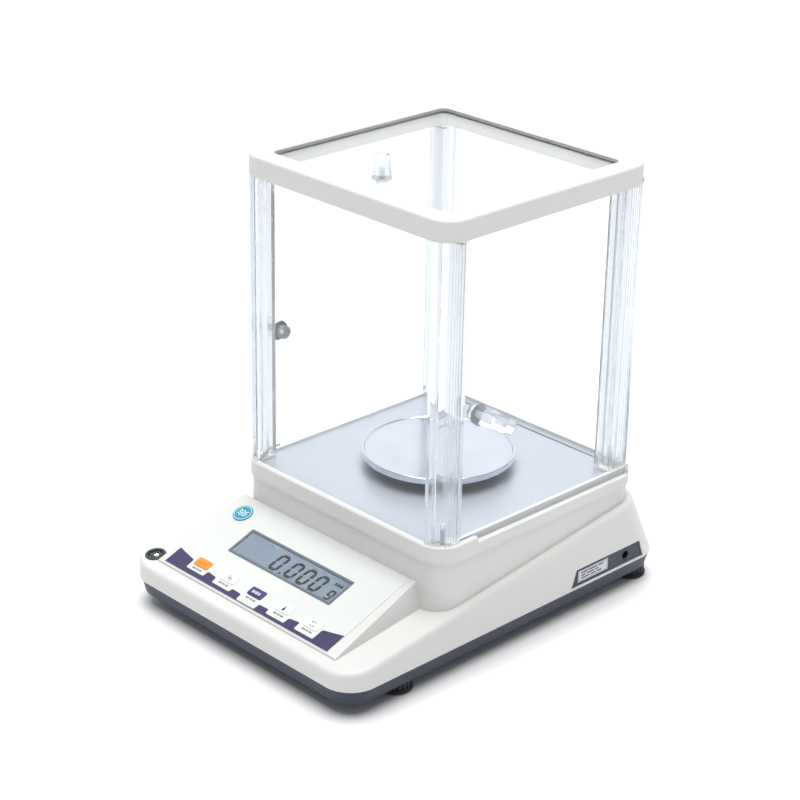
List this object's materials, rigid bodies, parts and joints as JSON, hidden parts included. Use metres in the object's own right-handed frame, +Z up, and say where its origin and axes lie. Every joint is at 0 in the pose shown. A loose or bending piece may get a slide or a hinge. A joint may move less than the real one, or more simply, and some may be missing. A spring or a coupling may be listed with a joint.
{
  "type": "analytical balance",
  "caption": "Laboratory balance with a glass draft shield, sliding doors, a round pan, a sloping control panel and screw feet.",
  "frame": {"origin": "on the table, under the middle of the object's box", "axes": "+Z up, the control panel faces -Y, the weighing pan stands on X = 0"},
  "size_m": [0.257, 0.318, 0.3394],
  "materials": {
    "white_plastic": "satin",
    "dark_plastic": "fine texture",
    "black_plastic": "satin",
    "printed_film": "fine matt",
    "rubber": "matt",
    "clear_plastic": "clear",
    "sheet_glass": "clear",
    "display_glass": "gloss",
    "level_liquid": "clear",
    "circuit_board": "satin",
    "badge_teal": "gloss",
    "label_white": "satin",
    "brushed_plate": "satin",
    "polished_steel": "fine brushed",
    "screw_steel": "bright",
    "spring_steel": "bright",
    "cast_aluminium": "as cast",
    "soft_iron": "satin",
    "copper_wire": "enamelled",
    "orange_key": "satin",
    "white_key": "satin",
    "purple_key": "satin"
  },
  "bodies": {
    "housing": {"upper_housing": "white_plastic", "control_wedge": "white_plastic", "chamber_base": "white_plastic", "top_frame": "white_plastic", "bottom_shell": "dark_plastic", "connector_panel": "dark_plastic", "level_cup": "dark_plastic", "housing_screws": "screw_steel", "post_screws": "screw_steel", "panel_film": "printed_film", "key_mat": "rubber", "lcd_window": "clear_plastic", "lcd_cell": "display_glass", "lcd_backlight": "label_white", "display_board": "circuit_board", "main_board": "circuit_board", "badge_disc": "badge_teal", "level_fluid": "level_liquid", "level_lens": "clear_plastic", "floor_plate": "brushed_plate", "front_glass": "sheet_glass", "rear_glass": "sheet_glass", "upper_guide": "spring_steel", "lower_guide": "spring_steel", "magnet_pot": "soft_iron", "cell_base": "cast_aluminium", "type_label": "label_white", "dc_jack": "black_plastic", "front_left_post": "clear_plastic", "front_right_post": "clear_plastic", "rear_left_post": "clear_plastic", "rear_right_post": "clear_plastic"},
    "left_door": {"left_door": "sheet_glass", "left_knob": "clear_plastic", "left_knob_screw": "screw_steel"},
    "right_door": {"right_door": "sheet_glass", "right_knob": "clear_plastic", "right_knob_screw": "screw_steel"},
    "top_door": {"top_door": "sheet_glass", "top_knob": "clear_plastic", "top_knob_screw": "screw_steel"},
    "load_carrier": {"load_carrier": "cast_aluminium"},
    "pan": {"weighing_pan": "polished_steel", "pan_support": "cast_aluminium"},
    "lever": {"transfer_lever": "cast_aluminium", "lever_coil": "copper_wire"},
    "power_key": {"power_key": "orange_key"},
    "unit_key": {"unit_key": "white_key"},
    "menu_key": {"menu_key": "purple_key"},
    "print_key": {"print_key": "white_key"},
    "zero_key": {"zero_key": "white_key"},
    "front_left_foot": {"front_left_foot_pad": "rubber"},
    "front_left_foot_screw": {"front_left_foot_screw": "black_plastic"},
    "front_right_foot": {"front_right_foot_pad": "rubber"},
    "front_right_foot_screw": {"front_right_foot_screw": "black_plastic"},
    "rear_left_foot": {"rear_left_foot_pad": "rubber"},
    "rear_left_foot_screw": {"rear_left_foot_screw": "black_plastic"},
    "rear_right_foot": {"rear_right_foot_pad": "rubber"},
    "rear_right_foot_screw": {"rear_right_foot_screw": "black_plastic"}
  },
  "joints": [
    {"name": "left_door_slide", "type": "slide", "parent": "housing", "child": "left_door", "axis": [0, 1, 0], "range_m": [0, 0.135]},
    {"name": "right_door_slide", "type": "slide", "parent": "housing", "child": "right_door", "axis": [0, 1, 0], "range_m": [0, 0.135]},
    {"name": "top_door_slide", "type": "slide", "parent": "housing", "child": "top_door", "axis": [0, 1, 0], "range_m": [0, 0.13]},
    {"name": "load_carrier_slide", "type": "slide", "parent": "housing", "child": "load_carrier", "axis": [0, 0, -1], "range_m": [0, 0.0003], "stiffness_N_per_m": 8000, "springref_m": -0.0008},
    {"name": "pan_lift_off", "type": "slide", "parent": "load_carrier", "child": "pan", "axis": [0, 0, 1], "range_m": [0, 0.05]},
    {"name": "lever_turn", "type": "hinge", "parent": "housing", "child": "lever", "pos_m": [0, 0.052, 0.051], "axis": [1, 0, 0], "range_deg": [0, 0.75]},
    {"name": "power_key_press", "type": "slide", "parent": "housing", "child": "power_key", "axis": [0, 0.342, -0.9397], "range_m": [0, 0.0004], "stiffness_N_per_m": 4000},
    {"name": "unit_key_press", "type": "slide", "parent": "housing", "child": "unit_key", "axis": [0, 0.342, -0.9397], "range_m": [0, 0.0004], "stiffness_N_per_m": 4000},
    {"name": "menu_key_press", "type": "slide", "parent": "housing", "child": "menu_key", "axis": [0, 0.342, -0.9397], "range_m": [0, 0.0004], "stiffness_N_per_m": 4000},
    {"name": "print_key_press", "type": "slide", "parent": "housing", "child": "print_key", "axis": [0, 0.342, -0.9397], "range_m": [0, 0.0004], "stiffness_N_per_m": 4000},
    {"name": "zero_key_press", "type": "slide", "parent": "housing", "child": "zero_key", "axis": [0, 0.342, -0.9397], "range_m": [0, 0.0004], "stiffness_N_per_m": 4000},
    {"name": "front_left_foot_lift", "type": "slide", "parent": "housing", "child": "front_left_foot", "axis": [0, 0, -1], "range_m": [-0.0004, 0.006]},
    {"name": "front_left_foot_turn", "type": "hinge", "parent": "front_left_foot", "child": "front_left_foot_screw", "pos_m": [-0.1095, -0.1, 0.006], "axis": [0, 0, -1], "range_deg": [-115, 1728]},
    {"name": "front_right_foot_lift", "type": "slide", "parent": "housing", "child": "front_right_foot", "axis": [0, 0, -1], "range_m": [-0.0004, 0.006]},
    {"name": "front_right_foot_turn", "type": "hinge", "parent": "front_right_foot", "child": "front_right_foot_screw", "pos_m": [0.0905, -0.1, 0.006], "axis": [0, 0, -1], "range_deg": [-115, 1728]},
    {"name": "rear_left_foot_lift", "type": "slide", "parent": "housing", "child": "rear_left_foot", "axis": [0, 0, -1], "range_m": [-0.0004, 0.006]},
    {"name": "rear_left_foot_turn", "type": "hinge", "parent": "rear_left_foot", "child": "rear_left_foot_screw", "pos_m": [-0.1095, 0.142, 0.006], "axis": [0, 0, -1], "range_deg": [-115, 1728]},
    {"name": "rear_right_foot_lift", "type": "slide", "parent": "housing", "child": "rear_right_foot", "axis": [0, 0, -1], "range_m": [-0.0004, 0.006]},
    {"name": "rear_right_foot_turn", "type": "hinge", "parent": "rear_right_foot", "child": "rear_right_foot_screw", "pos_m": [0.0905, 0.142, 0.006], "axis": [0, 0, -1], "range_deg": [-115, 1728]}
  ],
  "couplings": [
    {"joint": "lever_turn", "follows": "load_carrier_slide", "rad_per_m": 41.667},
    {"joint": "front_left_foot_lift", "follows": "front_left_foot_turn", "m_per_rad": 0.00019894},
    {"joint": "front_right_foot_lift", "follows": "front_right_foot_turn", "m_per_rad": 0.00019894},
    {"joint": "rear_left_foot_lift", "follows": "rear_left_foot_turn", "m_per_rad": 0.00019894},
    {"joint": "rear_right_foot_lift", "follows": "rear_right_foot_turn", "m_per_rad": 0.00019894}
  ]
}
